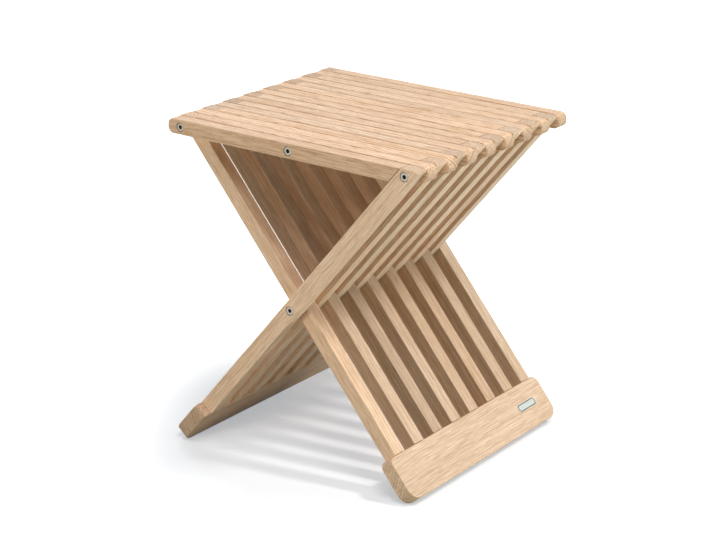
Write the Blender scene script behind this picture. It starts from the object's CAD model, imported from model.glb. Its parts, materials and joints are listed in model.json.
"""The looks of a slatted folding stool: its wood and metal, on a white studio floor.

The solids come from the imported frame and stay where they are.  Each slat and rail is its own piece of oak:
a solid pattern of growth rings, pores and rays laid along that piece, so that its faces and its ends agree.
"""

import json
import math
import random

import bpy
from mathutils import Matrix, Vector

# The camera, at the photograph's angle
IMAGE_WIDTH = 716
FOCAL_PIXELS = 1998.3
SENSOR_MM = 36.0
CAMERA_AZIMUTH = 37.139
CAMERA_ELEVATION = 20.035
CAMERA_DISTANCE = 2.4842
CAMERA_TARGET = Vector((0.1019, -0.1582, 0.3026))
CAMERA_SHIFT_PIXELS = (0.55, -0.20)

# The light.  Azimuths run from +X towards +Y, and a level of 1 shows a facing surface as it is painted
KEY = {"azimuth": 19.3, "elevation": 53.1, "width": 0.24, "height": 0.4, "level": 0.40}
SIDE = {"azimuth": -40, "elevation": 62, "width": 1.6, "height": 1.6, "level": 0.46}
LOW = {"azimuth": 24, "elevation": 5, "width": 0.6, "height": 0.75, "level": 0.30}
FILL = {"azimuth": -101, "elevation": 9, "width": 0.6, "height": 0.6, "level": 0.275}
BACK = {"azimuth": 140, "elevation": 35, "width": 1.2, "height": 1.2, "level": 0.25}
LAMP_DISTANCE = 3.0
WARM_LIGHT = (1.0, 0.96, 0.87)
COOL_LIGHT = (0.93, 1.0, 0.97)
LIGHT_TARGET = Vector((0.0, 0.0, 0.25))
FLOOR_SIZE = 30.0
FLOOR_DROP = 0.0001
FLOOR_COLOUR = (0.48, 0.51, 0.46, 1.0)
FLOOR_FAR_COLOUR = (0.68, 0.74, 0.69, 1.0)
FLOOR_FAR_REACH = (0.22, 0.38)
FLOOR_SEEN_COLOUR = (0.74, 0.73, 0.72, 1.0)
FLOOR_GLOW_COLOUR = (0.922, 1.0, 1.09, 1.0)
FLOOR_GLOW = 0.40
WHITE = (1.0, 1.0, 1.0, 1.0)
SHADOW_MIDDLE = (0.05, 0.0, 0.0)
SHADOW_REACH = (0.26, 0.46)

# Softened edges, in metres
LEG_ARRIS = 0.0009
PIECE_ARRISES = {"right_leg_slat_8": 0.0014, "right_leg_slat_7": 0.0010}
SEAT_ARRIS = 0.0014
ARRIS_SEGMENTS = 3
FOOT_INSET = 0.0008
HOLE_RIM = 0.0080
BOLT_ARRIS = 0.00012
PLATE_ARRIS = 0.0002
PLATE_CORNER = 0.0040
GROOVE_INSET = 0.0011
GROOVE_WIDTH = 0.0011
GROOVE_BLUR = 0.0001
WELD = 0.00001
SHARP_ANGLE = math.radians(35)
FLAT_ANGLE = math.radians(0.5)

# Oak, in metres and linear colours
RING_WIDTH = 0.0020
PITH_NEAR = 0.080
PITH_FAR = 0.250
PITH_TURN_SPREAD = math.radians(24)
OAK_LIGHT = (0.900, 0.648, 0.452, 1.0)
OAK_MID = (0.835, 0.585, 0.398, 1.0)
OAK_DARK = (0.540, 0.290, 0.130, 1.0)
OAK_END_DARK = (0.480, 0.302, 0.182, 1.0)
OAK_PORE = (0.370, 0.185, 0.080, 1.0)
GRAIN_TONE = (0.75, 1.0, 1.3)
SHADE_SPREAD = 0.07
WARMTH_SPREAD = 0.03
WARMTHS = {"left_leg_slat": -0.03}
PIECE_WARMTHS = {"left_seat_slat_1": 0.035, "left_leg_slat_1": -0.01}
END_SHADES = {
    "left_leg_slat": 0.86,
    "right_leg_slat": 1.00,
    "left_seat_slat": 0.97,
    "right_seat_slat": 0.97,
    "left_foot_rail": 0.92,
    "right_foot_rail": 1.12,
}
EDGE_SHADES = {
    "left_leg_slat": 1.04,
    "right_leg_slat": 1.04,
    "left_seat_slat": 0.72,
    "right_seat_slat": 0.72,
    "left_foot_rail": 1.02,
    "right_foot_rail": 1.02,
}
FIGURES = {
    "left_leg_slat": 0.85,
    "right_leg_slat": 0.95,
    "left_seat_slat": 2.10,
    "right_seat_slat": 2.10,
    "left_foot_rail": 0.85,
    "right_foot_rail": 0.75,
}
PIECE_FIGURES = {"left_seat_slat_1": 1.20}
SHADES = {
    "left_leg_slat": 1.14,
    "right_leg_slat": 0.87,
    "left_seat_slat": 1.07,
    "right_seat_slat": 1.07,
    "left_foot_rail": 0.92,
    "right_foot_rail": 1.065,
}
PIECE_SHADES = {
    "left_leg_slat_1": 1.115,
    "left_seat_slat_1": 0.94,
    "right_leg_slat_3": 0.82,
    "right_leg_slat_6": 0.77,
    "right_leg_slat_7": 0.96,
    "right_leg_slat_8": 1.06,
}
WOOD_SEED = 11
SEED_REACH = 20
OAK_SPECULAR = 0.2
OAK_BUMP_STRENGTH = 0.5
OAK_BUMP_DEPTH = 0.0002

# Waves to the metre of the oak's patterns, along the grain and the two ways across it
BEND_WAVES = (2.2, 30, 30)
FADING_WAVES = (9, 120, 120)
PORE_WAVES = (95, 1900, 1900)
FLECK_WAVES = (50, 720, 720)
SPECK_WAVES = (60, 620, 620)
STREAK_WAVES = (4.0, 170, 170)
FINE_STREAK_WAVES = (22, 680, 680)
FIBRE_WAVES = (30, 1300, 1300)
CLOUD_WAVES = (7, 26, 26)

# The same for the rays, along the grain, outwards from the pith, and to the radian round it
RAY_WAVES = (160, 90, 150)

# How far the patterns reach, in metres or years, and how strong they are
BEND = 0.006
YEAR_DRIFT = 2.5
FAINTEST_YEAR = 0.15
END_YEAR = 0.8
STRAY_PORES = 0.25
CLOUD_SHADES = (0.94, 1.05)
FIBRE_SHADES = (-0.07, 0.07)
FINE_STREAK_SHADES = (-0.16, 0.16)
RAY_SHADE = 0.06
YEAR_DARKNESS = 0.60
END_YEAR_DARKNESS = 0.32
FLECK_DARKNESS = 0.42
SPECK_DARKNESS = 0.50
PORE_DARKNESS = 0.55
EDGE_WAVER = 0.0016
EDGE_REACH = (0.0020, 0.0006)

# Metal, in linear colours.  Reaches are shares of a bolt's width, from its middle
STEEL_DARK = (0.285, 0.268, 0.225, 1.0)
STEEL_LIGHT = (0.365, 0.345, 0.290, 1.0)
STEEL_GRIME = (0.026, 0.023, 0.015, 1.0)
SOCKET_REACH = (0.245, 0.205)
RIM_REACH = (0.430, 0.485)
PLATE_DARK = (0.54, 0.58, 0.54, 1.0)
PLATE_LIGHT = (0.64, 0.67, 0.63, 1.0)
PLATE_RIM = (0.68, 0.71, 0.67, 1.0)
PLATE_GROOVE = (0.030, 0.035, 0.032, 1.0)
SMUDGE_WAVES = (300, 300, 300)
BRUSH_WAVES = (60, 4000, 4000)
METAL_BUMP_DEPTH = 0.00005


class Graph:
    """A node tree, with short ways of adding to it."""

    def __init__(self, tree):
        self.tree = tree

    def add(self, kind, inputs=None, **settings):
        node = self.tree.nodes.new(kind)
        for name, value in settings.items():
            setattr(node, name, value)
        for socket, value in (inputs or {}).items():
            self.feed(node.inputs[socket], value)
        return node

    def feed(self, socket, value):
        """Links a socket to another one, or sets it to a plain value."""
        if isinstance(value, bpy.types.NodeSocket):
            self.tree.links.new(value, socket)
        else:
            socket.default_value = value

    def math(self, operation, *values, clamp=False):
        inputs = dict(enumerate(values))
        return self.add("ShaderNodeMath", inputs, operation=operation, use_clamp=clamp).outputs[0]

    def vector(self, operation, *values):
        node = self.add("ShaderNodeVectorMath", dict(enumerate(values)), operation=operation)
        return node.outputs["Value" if operation in ("LENGTH", "DISTANCE", "DOT_PRODUCT") else "Vector"]

    def smooth(self, value, low, high, to_low=0.0, to_high=1.0):
        """A smooth step from to_low, where value is low, to to_high, where it is high."""
        inputs = {"Value": value, "From Min": low, "From Max": high, "To Min": to_low, "To Max": to_high}
        return self.add("ShaderNodeMapRange", inputs, interpolation_type="SMOOTHSTEP").outputs["Result"]

    def noise(self, position, stretch, detail=2.0, roughness=0.5):
        """Noise with stretch waves to the metre along each axis."""
        place = self.vector("MULTIPLY", position, stretch)
        inputs = {"Vector": place, "Scale": 1.0, "Detail": detail, "Roughness": roughness}
        return self.add("ShaderNodeTexNoise", inputs).outputs["Fac"]

    def blend(self, share, a, b, mode="MIX"):
        node = self.add("ShaderNodeMix", data_type="RGBA", blend_type=mode)
        colours = [s for s in node.inputs if s.type == "RGBA"]
        for socket, value in zip([node.inputs[0], *colours], (share, a, b)):
            self.feed(socket, value)
        return next(s for s in node.outputs if s.type == "RGBA")

    def grey(self, value):
        return self.add("ShaderNodeCombineColor", {"Red": value, "Green": value, "Blue": value}).outputs[0]


def new_material(name):
    material = bpy.data.materials.new(name)
    material.use_nodes = True
    material.node_tree.nodes.clear()
    return material, Graph(material.node_tree)


def finish_material(graph, principled):
    graph.add("ShaderNodeOutputMaterial", {"Surface": principled.outputs["BSDF"]})


def make_oak():
    """The node group that paints oak.  Position is in the piece's own frame: X along the grain."""
    tree = bpy.data.node_groups.new("oak", "ShaderNodeTree")
    graph = Graph(tree)
    for name, kind in (
        ("Position", "NodeSocketVector"),
        ("End Grain", "NodeSocketFloat"),
        ("End Shade", "NodeSocketFloat"),
        ("Figure", "NodeSocketFloat"),
        ("Edge Shade", "NodeSocketFloat"),
        ("Half Size", "NodeSocketVector"),
        ("Pith", "NodeSocketVector"),
        ("Seed", "NodeSocketVector"),
        ("Tint", "NodeSocketColor"),
    ):
        tree.interface.new_socket(name, in_out="INPUT", socket_type=kind)
    for name, kind in (
        ("Colour", "NodeSocketColor"),
        ("Roughness", "NodeSocketFloat"),
        ("Height", "NodeSocketFloat"),
    ):
        tree.interface.new_socket(name, in_out="OUTPUT", socket_type=kind)
    given = graph.add("NodeGroupInput").outputs
    place = given["Position"]
    seeded = graph.vector("ADD", place, given["Seed"])

    # Growth rings: uneven rounds about the pith, off the piece, of which only some leave a strong line
    from_pith = graph.vector("SUBTRACT", graph.vector("MULTIPLY", place, (0, 1, 1)), given["Pith"])
    bend = graph.noise(seeded, BEND_WAVES, detail=1.0)
    radius = graph.math("MULTIPLY_ADD", bend, BEND, graph.vector("LENGTH", from_pith))
    first_year = graph.add("ShaderNodeSeparateXYZ", {"Vector": given["Seed"]}).outputs["X"]
    years = graph.math("ADD", graph.math("DIVIDE", radius, RING_WIDTH), first_year)
    drift = graph.add("ShaderNodeTexNoise", {"W": years, "Scale": 0.35}, noise_dimensions="1D").outputs["Fac"]
    years = graph.math("MULTIPLY_ADD", drift, YEAR_DRIFT, years)
    ring = graph.math("FRACT", years)
    early_wood = graph.math("MULTIPLY", graph.smooth(ring, 0.0, 0.12), graph.smooth(ring, 0.65, 0.12))
    lot = graph.add("ShaderNodeTexWhiteNoise", {"W": graph.math("FLOOR", years)}, noise_dimensions="1D")
    fading = graph.noise(seeded, FADING_WAVES)
    strength = graph.math("POWER", lot.outputs["Value"], 2.0)
    strength = graph.math("MULTIPLY", strength, graph.smooth(fading, 0.30, 0.65, 0.35, 1.0))
    strength = graph.math("MULTIPLY_ADD", strength, 1 - FAINTEST_YEAR, FAINTEST_YEAR)
    end = graph.smooth(given["End Grain"], 0.35, 0.90)
    strength = graph.math("MAXIMUM", strength, graph.math("MULTIPLY", end, END_YEAR))
    early_wood = graph.math("MULTIPLY", early_wood, strength)

    # Pores: short dark strokes along the grain, most of them in the early wood, and larger flecks
    strokes = graph.smooth(graph.noise(seeded, PORE_WAVES, detail=1.0), 0.56, 0.70)
    pores = graph.math("MULTIPLY_ADD", early_wood, 1 - STRAY_PORES, STRAY_PORES)
    pores = graph.math("MULTIPLY", strokes, pores)
    flecks = graph.smooth(graph.noise(seeded, FLECK_WAVES), 0.53, 0.68)
    specks = graph.smooth(graph.noise(seeded, SPECK_WAVES), 0.50, 0.64)

    # Streaks some millimetres wide, finer ones, fibre, and cloudy shade along the piece
    streaks = graph.noise(seeded, STREAK_WAVES, detail=3.0, roughness=0.6)
    fine_streaks = graph.noise(seeded, FINE_STREAK_WAVES, roughness=0.6)
    fibre = graph.noise(seeded, FIBRE_WAVES)
    clouds = graph.noise(seeded, CLOUD_WAVES)

    # Rays: thin sheets that run from the pith outwards, flecks where a face cuts along them
    parts = graph.add("ShaderNodeSeparateXYZ", {"Vector": from_pith}).outputs
    turn = graph.math("ARCTAN2", parts["Z"], parts["Y"])
    along = graph.add("ShaderNodeSeparateXYZ", {"Vector": seeded}).outputs["X"]
    polar = graph.add("ShaderNodeCombineXYZ", {"X": along, "Y": radius, "Z": turn}).outputs["Vector"]
    rays = graph.smooth(graph.noise(polar, RAY_WAVES, detail=1.0), 0.60, 0.74)

    # Colour: the light and dark of the patterns, then the dark lines and the pores, then the piece's own tint
    colour = graph.blend(graph.smooth(streaks, 0.34, 0.66), OAK_MID, OAK_LIGHT)
    shade = graph.smooth(clouds, 0.2, 0.8, *CLOUD_SHADES)
    shade = graph.math("ADD", shade, graph.smooth(fibre, 0.25, 0.75, *FIBRE_SHADES))
    shade = graph.math("ADD", shade, graph.smooth(fine_streaks, 0.30, 0.70, *FINE_STREAK_SHADES))
    shade = graph.math("MULTIPLY_ADD", rays, RAY_SHADE, shade)
    toned = {way: graph.math("POWER", shade, tone) for way, tone in zip(("Red", "Green", "Blue"), GRAIN_TONE)}
    colour = graph.blend(1.0, colour, graph.add("ShaderNodeCombineColor", toned).outputs[0], "MULTIPLY")
    year_darkness = graph.math("MULTIPLY_ADD", end, END_YEAR_DARKNESS, YEAR_DARKNESS)
    dark = graph.math("MULTIPLY", early_wood, year_darkness)
    dark = graph.math("MULTIPLY_ADD", flecks, FLECK_DARKNESS, dark)
    dark = graph.math("MULTIPLY", dark, graph.math("MAXIMUM", given["Figure"], end))
    end_specks = graph.math("MULTIPLY", specks, end)
    dark = graph.math("MULTIPLY_ADD", end_specks, SPECK_DARKNESS, dark, clamp=True)
    colour = graph.blend(dark, colour, graph.blend(end, OAK_DARK, OAK_END_DARK))
    colour = graph.blend(graph.math("MULTIPLY", pores, PORE_DARKNESS), colour, OAK_PORE)
    colour = graph.blend(1.0, colour, given["Tint"], "MULTIPLY")

    # Edges rubbed smoother, and paler or darker.  The gap to the second face is the way to the edge
    inset = graph.vector("SUBTRACT", given["Half Size"], graph.vector("ABSOLUTE", place))
    inset = graph.add("ShaderNodeSeparateXYZ", {"Vector": inset}).outputs
    to_edge = graph.math("MAXIMUM", inset["Y"], inset["Z"])
    to_edge = graph.math("MULTIPLY_ADD", clouds, EDGE_WAVER, to_edge)
    rubbed = graph.smooth(to_edge, *EDGE_REACH)
    for share, shade_name in ((rubbed, "Edge Shade"), (end, "End Shade")):
        lost = graph.math("MULTIPLY", share, graph.math("SUBTRACT", 1.0, given[shade_name]))
        colour = graph.blend(1.0, colour, graph.grey(graph.math("SUBTRACT", 1.0, lost)), "MULTIPLY")

    # Roughness and relief
    rough = graph.math("MULTIPLY_ADD", pores, 0.16, graph.smooth(streaks, 0.3, 0.7, 0.64, 0.54))
    rough = graph.math("MULTIPLY_ADD", rubbed, -0.08, rough)
    height = graph.math("MULTIPLY_ADD", pores, -1.0, graph.math("MULTIPLY", fibre, 0.35))
    height = graph.math("MULTIPLY_ADD", early_wood, -0.25, height)
    graph.add("NodeGroupOutput", {"Colour": colour, "Roughness": rough, "Height": height})
    return tree


def wood_material(name, kind, oak, axes, middle, half_size, draw):
    """Oak for one piece.  The columns of axes are the grain and the two ways across it."""
    material, graph = new_material(name)
    coordinates = graph.add("ShaderNodeTexCoord").outputs
    turned = graph.add(
        "ShaderNodeMapping",
        {"Vector": coordinates["Object"], "Location": middle, "Rotation": axes.to_euler()},
        vector_type="TEXTURE",
    )
    facing = graph.vector("DOT_PRODUCT", coordinates["Normal"], axes.col[0])
    pith_turn = math.pi / 4 + draw.randrange(4) * math.pi / 2
    pith_turn += draw.uniform(-PITH_TURN_SPREAD, PITH_TURN_SPREAD)
    pith_distance = draw.uniform(PITH_NEAR, PITH_FAR)
    drawn_shade = SHADES[kind] * (1 + draw.uniform(-SHADE_SPREAD, SHADE_SPREAD))
    shade = PIECE_SHADES.get(name, drawn_shade)
    drawn_warmth = draw.uniform(-WARMTH_SPREAD, WARMTH_SPREAD) + WARMTHS.get(kind, 0.0)
    warmth = PIECE_WARMTHS.get(name, drawn_warmth)
    wood = graph.add(
        "ShaderNodeGroup",
        {
            "Position": turned.outputs["Vector"],
            "End Grain": graph.math("ABSOLUTE", facing),
            "Half Size": half_size,
            "End Shade": END_SHADES[kind],
            "Edge Shade": EDGE_SHADES[kind],
            "Figure": PIECE_FIGURES.get(name, FIGURES[kind]),
            "Pith": (0, pith_distance * math.cos(pith_turn), pith_distance * math.sin(pith_turn)),
            "Seed": [draw.uniform(-SEED_REACH, SEED_REACH) for _ in range(3)],
            "Tint": (shade * (1 + warmth), shade, shade * (1 - warmth), 1.0),
        },
        node_tree=oak,
    ).outputs
    bump = graph.add(
        "ShaderNodeBump",
        {"Height": wood["Height"], "Strength": OAK_BUMP_STRENGTH, "Distance": OAK_BUMP_DEPTH},
    )
    principled = graph.add(
        "ShaderNodeBsdfPrincipled",
        {
            "Base Color": wood["Colour"],
            "Roughness": wood["Roughness"],
            "Normal": bump.outputs["Normal"],
            "Specular IOR Level": OAK_SPECULAR,
        },
    )
    finish_material(graph, principled)
    return material


def steel_material():
    """Turned stainless steel: fine rings about each head's middle, grime in its socket and at its rim."""
    material, graph = new_material("turned_steel")
    coordinates = graph.add("ShaderNodeTexCoord").outputs
    from_middle = graph.vector("SUBTRACT", coordinates["Generated"], (0.5, 0.5, 0.5))
    radius = graph.vector("LENGTH", graph.vector("MULTIPLY", from_middle, (1, 0, 1)))
    rings = graph.add(
        "ShaderNodeTexNoise",
        {"W": radius, "Scale": 60.0, "Detail": 2.0},
        noise_dimensions="1D",
    ).outputs["Fac"]
    smudge = graph.noise(coordinates["Object"], SMUDGE_WAVES)
    grime = graph.math("MAXIMUM", graph.smooth(radius, *SOCKET_REACH), graph.smooth(radius, *RIM_REACH))
    rough = graph.math("MULTIPLY_ADD", rings, 0.10, graph.smooth(smudge, 0.3, 0.7, 0.26, 0.40))
    rough = graph.math("MULTIPLY_ADD", grime, 0.30, rough)
    colour = graph.blend(graph.smooth(smudge, 0.35, 0.75), STEEL_DARK, STEEL_LIGHT)
    colour = graph.blend(grime, colour, STEEL_GRIME)
    bump = graph.add("ShaderNodeBump", {"Height": rings, "Strength": 0.25, "Distance": METAL_BUMP_DEPTH})
    principled = graph.add(
        "ShaderNodeBsdfPrincipled",
        {"Base Color": colour, "Roughness": rough, "Metallic": 1.0, "Normal": bump.outputs["Normal"]},
    )
    finish_material(graph, principled)
    return material


def plate_material(axes, middle, half_size):
    """Satin metal, brushed along the plate, with a dark groove round its bare field."""
    material, graph = new_material("satin_plate")
    coordinates = graph.add("ShaderNodeTexCoord").outputs
    turned = graph.add(
        "ShaderNodeMapping",
        {"Vector": coordinates["Object"], "Location": middle, "Rotation": axes.to_euler()},
        vector_type="TEXTURE",
    ).outputs["Vector"]
    brushed = graph.noise(turned, BRUSH_WAVES)
    core = (half_size.x - PLATE_CORNER, half_size.y - PLATE_CORNER, 1.0)
    past_core = graph.vector("SUBTRACT", graph.vector("ABSOLUTE", turned), core)
    past_core = graph.vector("MAXIMUM", past_core, (0, 0, 0))
    inset = graph.math("SUBTRACT", PLATE_CORNER, graph.vector("LENGTH", past_core))
    off_groove = graph.math("ABSOLUTE", graph.math("SUBTRACT", inset, GROOVE_INSET))
    groove = graph.smooth(off_groove, GROOVE_WIDTH / 2 + GROOVE_BLUR, GROOVE_WIDTH / 2 - GROOVE_BLUR)
    field = graph.smooth(inset, GROOVE_INSET - GROOVE_BLUR, GROOVE_INSET + GROOVE_BLUR)
    rough = graph.smooth(brushed, 0.3, 0.7, 0.32, 0.48)
    colour = graph.blend(graph.smooth(brushed, 0.3, 0.7), PLATE_DARK, PLATE_LIGHT)
    colour = graph.blend(field, PLATE_RIM, colour)
    colour = graph.blend(groove, colour, PLATE_GROOVE)
    height = graph.math("MULTIPLY_ADD", groove, -3.0, brushed)
    bump = graph.add("ShaderNodeBump", {"Height": height, "Strength": 0.3, "Distance": METAL_BUMP_DEPTH})
    principled = graph.add(
        "ShaderNodeBsdfPrincipled",
        {"Base Color": colour, "Roughness": rough, "Metallic": 1.0, "Normal": bump.outputs["Normal"]},
    )
    finish_material(graph, principled)
    return material


def make_smoother():
    """A node modifier that shades a mesh smooth, apart from its sharp edges."""
    tree = bpy.data.node_groups.new("smooth_by_angle", "GeometryNodeTree")
    tree.is_modifier = True
    tree.interface.new_socket("Geometry", in_out="INPUT", socket_type="NodeSocketGeometry")
    tree.interface.new_socket("Geometry", in_out="OUTPUT", socket_type="NodeSocketGeometry")
    graph = Graph(tree)
    given = graph.add("NodeGroupInput").outputs[0]
    bare = graph.add("GeometryNodeRemoveAttribute", {"Geometry": given, "Name": "custom_normal"}).outputs[0]
    smooth = graph.add("GeometryNodeSetShadeSmooth", {"Geometry": bare, "Shade Smooth": True}, domain="FACE")
    angle = graph.add("GeometryNodeInputMeshEdgeAngle").outputs["Unsigned Angle"]
    sharp = graph.add(
        "FunctionNodeCompare",
        {0: angle, 1: SHARP_ANGLE},
        operation="GREATER_THAN",
        data_type="FLOAT",
    )
    edges = graph.add(
        "GeometryNodeSetShadeSmooth",
        {"Geometry": smooth.outputs[0], "Selection": sharp.outputs[0], "Shade Smooth": False},
        domain="EDGE",
    )
    graph.add("NodeGroupOutput", {0: edges.outputs[0]})
    return tree


def make_arris_weights(holes):
    """A node modifier that weighs a piece's sharp edges for its bevel.

    It leaves out the edges below a limit along the grain and those of the bolt holes.
    """
    tree = bpy.data.node_groups.new("arris_weights", "GeometryNodeTree")
    tree.is_modifier = True
    tree.interface.new_socket("Geometry", in_out="INPUT", socket_type="NodeSocketGeometry")
    tree.interface.new_socket("Grain", in_out="INPUT", socket_type="NodeSocketVector")
    tree.interface.new_socket("Limit", in_out="INPUT", socket_type="NodeSocketFloat")
    tree.interface.new_socket("Geometry", in_out="OUTPUT", socket_type="NodeSocketGeometry")
    graph = Graph(tree)
    given = graph.add("NodeGroupInput").outputs
    angle = graph.add("GeometryNodeInputMeshEdgeAngle").outputs["Unsigned Angle"]
    place = graph.add("GeometryNodeInputPosition").outputs[0]
    sharp = graph.math("GREATER_THAN", angle, SHARP_ANGLE)
    above = graph.math("GREATER_THAN", graph.vector("DOT_PRODUCT", place, given["Grain"]), given["Limit"])
    weight = graph.math("MULTIPLY", sharp, above)
    for hole in holes:
        off_axis = graph.vector("MULTIPLY", graph.vector("SUBTRACT", place, hole), (1, 0, 1))
        away = graph.math("GREATER_THAN", graph.vector("LENGTH", off_axis), HOLE_RIM)
        weight = graph.math("MULTIPLY", weight, away)
    stored = graph.add(
        "GeometryNodeStoreNamedAttribute",
        {"Geometry": given["Geometry"], "Name": "bevel_weight_edge", "Value": weight},
        data_type="FLOAT",
        domain="EDGE",
    )
    graph.add("NodeGroupOutput", {0: stored.outputs[0]})
    return tree


def soften(piece, arris, smoother, weights=None, grain=None, limit=0.0):
    """Shades a piece smooth, and rounds its edges above a limit along its grain by arris, which may be 0."""
    weld = piece.modifiers.new("weld", "WELD")
    weld.merge_threshold = WELD
    flat = piece.modifiers.new("flat", "DECIMATE")
    flat.decimate_type = "DISSOLVE"
    flat.angle_limit = FLAT_ANGLE
    if weights:
        weigh_edges = piece.modifiers.new("edges", "NODES")
        weigh_edges.node_group = weights
        items = weights.interface.items_tree
        sockets = {item.name: item.identifier for item in items if item.in_out == "INPUT"}
        weigh_edges[sockets["Grain"]] = grain
        weigh_edges[sockets["Limit"]] = limit
    if arris:
        bevel = piece.modifiers.new("arris", "BEVEL")
        bevel.limit_method = "WEIGHT" if weights else "ANGLE"
        bevel.angle_limit = SHARP_ANGLE
        bevel.width = arris
        bevel.segments = ARRIS_SEGMENTS
        bevel.use_clamp_overlap = not weights
        bevel.harden_normals = False
    smooth = piece.modifiers.new("smooth", "NODES")
    smooth.node_group = smoother
    weigh = piece.modifiers.new("weigh", "WEIGHTED_NORMAL")
    weigh.keep_sharp = True


def dress(piece, material):
    piece.data.materials.clear()
    piece.data.materials.append(material)


def axes_from(grain, across):
    """A turned frame: X along the grain, Y near the way across, Z square to both."""
    x = grain.normalized()
    z = x.cross(across).normalized()
    y = z.cross(x)
    return Matrix((x, y, z)).transposed()


def span(piece, axes):
    """The middle of a piece, and its half size in the turned frame."""
    turned = [axes.transposed() @ vertex.co for vertex in piece.data.vertices]
    low = Vector([min(p[i] for p in turned) for i in range(3)])
    high = Vector([max(p[i] for p in turned) for i in range(3)])
    return axes @ ((low + high) / 2), (high - low) / 2


def seen_rays(graph):
    """1 for the rays that show the studio as a picture, from the camera, a mirror or a glass."""
    rays = graph.add("ShaderNodeLightPath").outputs
    seen = graph.math("MAXIMUM", rays["Is Camera Ray"], rays["Is Glossy Ray"])
    return graph.math("MAXIMUM", seen, rays["Is Transmission Ray"])


def soften_wood(piece, kind, axes, smoother, weights):
    """Rails keep the arris of their solid, and a leg slat stays sharp where its foot meets the rail."""
    if "slat" not in kind:
        soften(piece, 0.0, smoother)
        return
    grain = axes.col[0]
    along = [vertex.co.dot(grain) for vertex in piece.data.vertices]
    lowest = min(along)
    if "leg" in kind:
        shoulder = min(place for place in along if place > lowest + WELD)
        arris = PIECE_ARRISES.get(piece.name, LEG_ARRIS)
        soften(piece, arris, smoother, weights, grain, shoulder + FOOT_INSET)
    else:
        soften(piece, SEAT_ARRIS, smoother, weights, grain, lowest - FOOT_INSET)


def make_floor():
    bpy.ops.mesh.primitive_plane_add(size=FLOOR_SIZE, location=(0, 0, -FLOOR_DROP))
    floor = bpy.context.object
    floor.name = "studio_floor"
    material, graph = new_material("white_floor")
    seen = seen_rays(graph)
    place = graph.add("ShaderNodeTexCoord").outputs["Object"]

    # Paint, as it lights the stool and as it is seen
    to_right = graph.add("ShaderNodeSeparateXYZ", {"Vector": place}).outputs["X"]
    colour = graph.blend(graph.smooth(to_right, *FLOOR_FAR_REACH), FLOOR_COLOUR, FLOOR_FAR_COLOUR)
    colour = graph.blend(seen, colour, FLOOR_SEEN_COLOUR)
    paint = graph.add("ShaderNodeBsdfDiffuse", {"Color": colour})

    # A glow that is only seen, and whitens the floor outside the shadow
    away = graph.vector("DISTANCE", place, SHADOW_MIDDLE)
    whiteness = graph.smooth(away, *SHADOW_REACH, FLOOR_GLOW, 1.0)
    strength = graph.math("MULTIPLY", seen, whiteness)
    shine = graph.blend(graph.smooth(away, *SHADOW_REACH), FLOOR_GLOW_COLOUR, WHITE)
    glow = graph.add("ShaderNodeEmission", {"Color": shine, "Strength": strength})
    both = graph.add("ShaderNodeAddShader", {0: paint.outputs[0], 1: glow.outputs[0]})
    graph.add("ShaderNodeOutputMaterial", {"Surface": both.outputs[0]})
    dress(floor, material)


def make_dome():
    """A white studio around the stool, which is seen but gives no light."""
    world = bpy.data.worlds.new("studio")
    world.use_nodes = True
    world.node_tree.nodes.clear()
    graph = Graph(world.node_tree)
    seen = seen_rays(graph)
    sky = graph.add("ShaderNodeBackground", {"Color": WHITE, "Strength": seen})
    graph.add("ShaderNodeOutputWorld", {"Surface": sky.outputs[0]})
    bpy.context.scene.world = world


def make_softbox(name, azimuth, elevation, width, height, level, colour=(1, 1, 1)):
    lamp = bpy.data.lights.new(name, "AREA")
    lamp.shape = "RECTANGLE"
    lamp.size = width
    lamp.size_y = height
    lamp.energy = level * (math.pi * LAMP_DISTANCE) ** 2
    lamp.color = colour
    box = bpy.data.objects.new(name, lamp)
    turn = math.radians(azimuth)
    rise = math.radians(elevation)
    towards = Vector((math.cos(turn) * math.cos(rise), math.sin(turn) * math.cos(rise), math.sin(rise)))
    box.location = LIGHT_TARGET + towards * LAMP_DISTANCE
    box.rotation_euler = towards.to_track_quat("Z", "Y").to_euler()
    bpy.context.scene.collection.objects.link(box)


def make_camera():
    camera = bpy.data.objects.new("camera", bpy.data.cameras.new("camera"))
    camera.data.sensor_width = SENSOR_MM
    camera.data.lens = FOCAL_PIXELS / IMAGE_WIDTH * SENSOR_MM
    camera.data.shift_x, camera.data.shift_y = (pixels / IMAGE_WIDTH for pixels in CAMERA_SHIFT_PIXELS)
    azimuth = math.radians(CAMERA_AZIMUTH)
    elevation = math.radians(CAMERA_ELEVATION)
    back = Vector((
        math.sin(azimuth) * math.cos(elevation),
        -math.cos(azimuth) * math.cos(elevation),
        math.sin(elevation),
    ))
    camera.location = CAMERA_TARGET + back * CAMERA_DISTANCE
    camera.rotation_euler = (-back).to_track_quat("-Z", "Y").to_euler()
    bpy.context.scene.collection.objects.link(camera)
    bpy.context.scene.camera = camera


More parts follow.
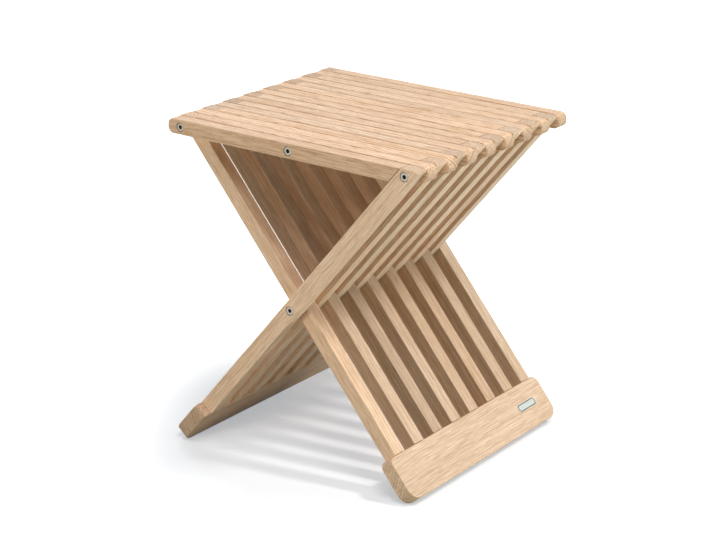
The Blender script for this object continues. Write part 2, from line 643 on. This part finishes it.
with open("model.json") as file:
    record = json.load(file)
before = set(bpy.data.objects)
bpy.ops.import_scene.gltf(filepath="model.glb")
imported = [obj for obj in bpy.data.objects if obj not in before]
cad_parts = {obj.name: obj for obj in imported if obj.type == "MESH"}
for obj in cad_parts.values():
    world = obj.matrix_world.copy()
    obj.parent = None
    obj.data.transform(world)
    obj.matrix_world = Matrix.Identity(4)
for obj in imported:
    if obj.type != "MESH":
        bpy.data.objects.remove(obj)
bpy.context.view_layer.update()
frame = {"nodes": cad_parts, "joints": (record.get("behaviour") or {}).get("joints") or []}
nodes = frame["nodes"]
pivots = {joint["name"]: Vector(joint["pos_m"]) for joint in frame["joints"]}
to_left = pivots["left_seat_fold"] - pivots["leg_fold"]
to_right = pivots["right_seat_fold"] - pivots["leg_fold"]
along_seat = pivots["right_seat_fold"] - pivots["left_seat_fold"]
along_rods = Vector(frame["joints"][0]["axis"]).normalized()
wood_axes = {
    "left_leg_slat": axes_from(to_right, along_rods),
    "right_leg_slat": axes_from(to_left, along_rods),
    "left_seat_slat": axes_from(along_seat, along_rods),
    "right_seat_slat": axes_from(along_seat, along_rods),
    "left_foot_rail": axes_from(along_rods, to_right),
    "right_foot_rail": axes_from(along_rods, to_left),
}

oak = make_oak()
smoother = make_smoother()
middle = (pivots["left_seat_fold"] + pivots["right_seat_fold"]) / 2
weights = make_arris_weights([*pivots.values(), middle])
steel = steel_material()
draw = random.Random(WOOD_SEED)
for name in sorted(nodes):
    piece = nodes[name]
    kind = name.rstrip("0123456789").rstrip("_")
    if kind in wood_axes:
        axes = wood_axes[kind]
        dress(piece, wood_material(name, kind, oak, axes, *span(piece, axes), draw))
        soften_wood(piece, kind, axes, smoother, weights)
    elif name == "blank_plate":
        axes = wood_axes["right_foot_rail"]
        dress(piece, plate_material(axes, *span(piece, axes)))
        soften(piece, PLATE_ARRIS, smoother)
    else:
        dress(piece, steel)
        soften(piece, BOLT_ARRIS, smoother)

make_floor()
make_dome()
make_softbox("key", **KEY)
make_softbox("side", **SIDE)
make_softbox("low", **LOW, colour=COOL_LIGHT)
make_softbox("fill", **FILL, colour=WARM_LIGHT)
make_softbox("back", **BACK)
make_camera()
bpy.context.scene.view_settings.view_transform = "Standard"
